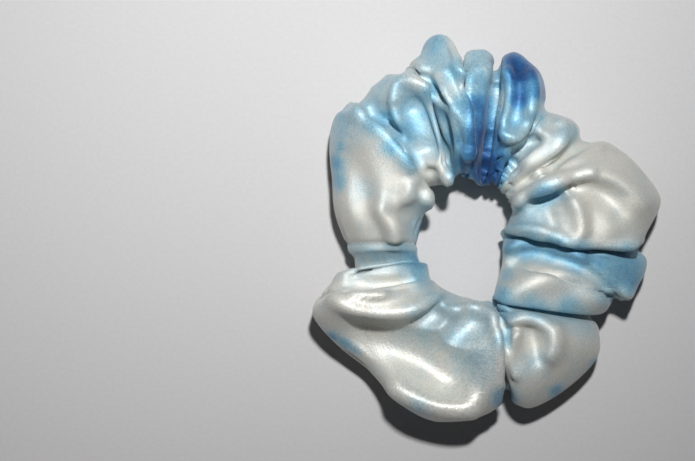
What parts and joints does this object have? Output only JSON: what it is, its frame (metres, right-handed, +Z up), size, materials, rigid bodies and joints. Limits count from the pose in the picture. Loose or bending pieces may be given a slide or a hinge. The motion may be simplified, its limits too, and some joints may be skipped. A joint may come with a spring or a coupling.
{
  "type": "hair scrunchie",
  "caption": "Satin hair scrunchie: a gathered tie-dyed cloth tube over a sewn elastic loop that stretches open and springs back.",
  "frame": {"origin": "centre of the bounding box in plan, on the table that the ring lies on", "axes": "+Z up through the opening, +Y along the longer way of the ring, closing seam on the -X arm"},
  "size_m": [0.1019, 0.1152, 0.0319],
  "materials": {
    "satin": "satin",
    "elastic": "matte",
    "thread": "satin"
  },
  "bodies": {
    "lower": {"cover_lower_half": "satin", "elastic_band": "elastic", "elastic_join_stitches": "thread", "side_seam_stitches": "thread", "closing_seam_stitches": "thread"},
    "upper": {"cover_upper_half": "satin"}
  },
  "joints": [
    {"name": "loop_stretch", "type": "slide", "parent": "lower", "child": "upper", "axis": [0, 1, 0], "range_m": [0, 0.075], "stiffness_N_per_m": 100, "deforming": ["elastic_band", "side_seam_stitches"]}
  ]
}
